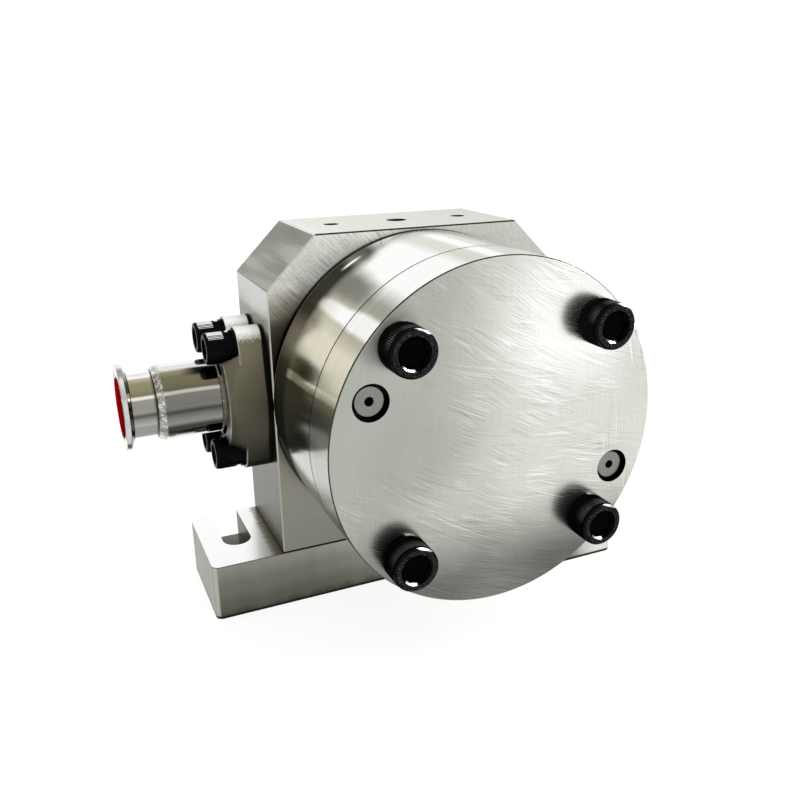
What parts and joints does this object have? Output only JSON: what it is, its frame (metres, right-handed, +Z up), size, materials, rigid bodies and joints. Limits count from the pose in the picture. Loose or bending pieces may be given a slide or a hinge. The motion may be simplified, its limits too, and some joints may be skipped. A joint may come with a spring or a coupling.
{
  "type": "gear pump",
  "caption": "External gear pump: chamfered steel block on a foot with open counterbores, round bearing drum with bolted front cover, flanged side ports with clamp ferrules, keyed rear shaft.",
  "frame": {"origin": "on the ground under the middle of the pump block, at half the block's depth", "axes": "+Z up, +Y along the shafts towards the free end of the drive shaft, +X towards the outlet; the front cover faces -Y"},
  "size_m": [0.3462, 0.3195, 0.225],
  "materials": {
    "ground_steel": "ground",
    "block_steel": "ground and brushed",
    "turned_steel": "turned",
    "cover_steel": "sanded with swirl marks",
    "satin_steel": "bead blasted",
    "polished_steel": "polished",
    "hardened_steel": "ground and hardened",
    "black_oxide": "black oxide",
    "bush_bronze": "machined bronze",
    "seal_rubber": "smooth rubber",
    "red_plastic": "moulded"
  },
  "bodies": {
    "casing": {"base_plate": "ground_steel", "base_screws": "black_oxide", "pump_block": "block_steel", "bearing_drum": "turned_steel", "front_cover": "cover_steel", "cover_screws": "black_oxide", "dowel_pins": "hardened_steel", "drum_seal_ring": "seal_rubber", "cover_seal_ring": "seal_rubber", "rear_housing": "turned_steel", "rear_housing_screws": "black_oxide", "rear_seal_ring": "seal_rubber", "seal_gland": "turned_steel", "gland_screws": "black_oxide", "shaft_seals": "seal_rubber", "front_bushes": "bush_bronze", "rear_bushes": "bush_bronze", "inlet_flange": "satin_steel", "inlet_flange_screws": "black_oxide", "inlet_washers": "black_oxide", "inlet_seal_ring": "seal_rubber", "inlet_pipe": "polished_steel", "inlet_ferrule": "polished_steel", "outlet_flange": "satin_steel", "outlet_flange_screws": "black_oxide", "outlet_washers": "black_oxide", "outlet_seal_ring": "seal_rubber", "outlet_pipe": "polished_steel", "outlet_ferrule": "polished_steel"},
    "drive": {"drive_shaft": "hardened_steel", "drive_gear": "hardened_steel", "drive_gear_key": "hardened_steel"},
    "driven": {"driven_shaft": "hardened_steel", "driven_gear": "hardened_steel", "driven_gear_key": "hardened_steel"},
    "inlet_plug": {"inlet_dust_plug": "red_plastic"},
    "outlet_plug": {"outlet_dust_plug": "red_plastic"}
  },
  "joints": [
    {"name": "drive_spin", "type": "hinge", "parent": "casing", "child": "drive", "pos_m": [0, 0, 0.158], "axis": [0, 1, 0], "continuous": true},
    {"name": "driven_spin", "type": "hinge", "parent": "casing", "child": "driven", "pos_m": [0, 0, 0.102], "axis": [0, 1, 0], "continuous": true},
    {"name": "inlet_plug_pull", "type": "slide", "parent": "casing", "child": "inlet_plug", "axis": [-1, 0, 0], "range_m": [0, 0.03]},
    {"name": "outlet_plug_pull", "type": "slide", "parent": "casing", "child": "outlet_plug", "axis": [1, 0, 0], "range_m": [0, 0.03]}
  ],
  "couplings": [
    {"joint": "driven_spin", "follows": "drive_spin", "ratio": -1}
  ]
}
